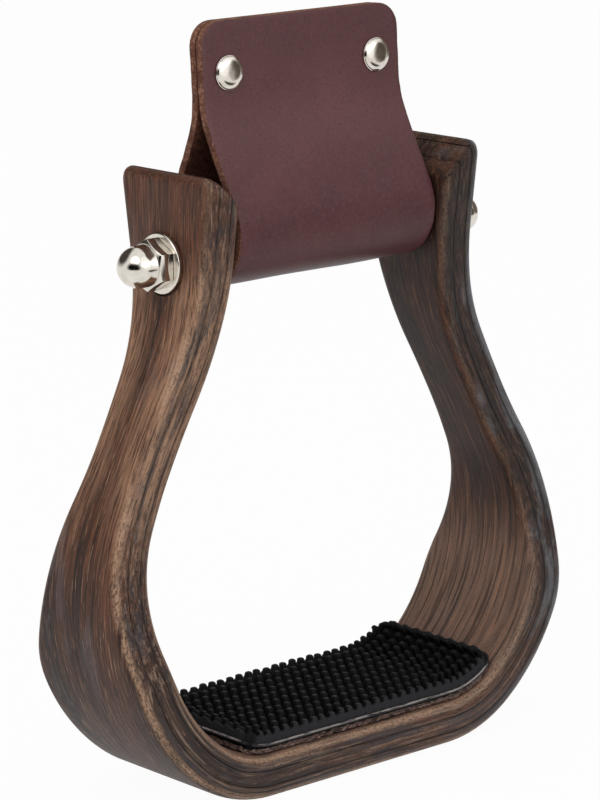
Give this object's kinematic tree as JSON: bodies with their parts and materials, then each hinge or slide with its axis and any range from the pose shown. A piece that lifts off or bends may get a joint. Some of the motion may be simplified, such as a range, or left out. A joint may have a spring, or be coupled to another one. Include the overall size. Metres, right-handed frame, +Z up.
{
  "type": "wooden western stirrup",
  "caption": "Bent laminated wood stirrup with waisted legs, a leather cover folded and riveted round the neck bolt, domed nuts, and a nubbed rubber pad on the flat tread.",
  "frame": {"origin": "on the underside of the tread, below the middle of the neck bolt", "axes": "+X along the neck bolt towards the right-hand nut, -Y is the front, which the rivet caps face, +Z up from tread to neck"},
  "size_m": [0.1664, 0.0488, 0.2147],
  "materials": {
    "stained_wood": "dark walnut stain, satin, worn lighter along the edges",
    "zinc_steel": "zinc plated, dull",
    "nickel_steel": "nickel plated, bright",
    "oxblood_leather": "waxed oxblood grain side, raw tan edges",
    "black_rubber": "moulded, slightly dusty",
    "pad_backing": "thin fibrous backing sheet"
  },
  "bodies": {
    "frame": {"ply_inner": "stained_wood", "ply_middle": "stained_wood", "ply_outer": "stained_wood", "bolt_rod": "zinc_steel", "washer_left": "nickel_steel", "washer_right": "nickel_steel", "domed_nut_left": "nickel_steel", "domed_nut_right": "nickel_steel", "pad_backing": "pad_backing", "tread_pad": "black_rubber"},
    "sleeve": {"bolt_sleeve": "zinc_steel"},
    "cover": {"leather_cover": "oxblood_leather", "rivet_post_left": "nickel_steel", "rivet_post_right": "nickel_steel", "rivet_cap_left": "nickel_steel", "rivet_cap_right": "nickel_steel"}
  },
  "joints": [
    {"name": "cover_swing", "type": "hinge", "parent": "frame", "child": "cover", "pos_m": [0, 0, 0.1509], "axis": [1, 0, 0], "continuous": true},
    {"name": "sleeve_spin", "type": "hinge", "parent": "frame", "child": "sleeve", "pos_m": [0, 0, 0.1509], "axis": [1, 0, 0], "continuous": true}
  ]
}
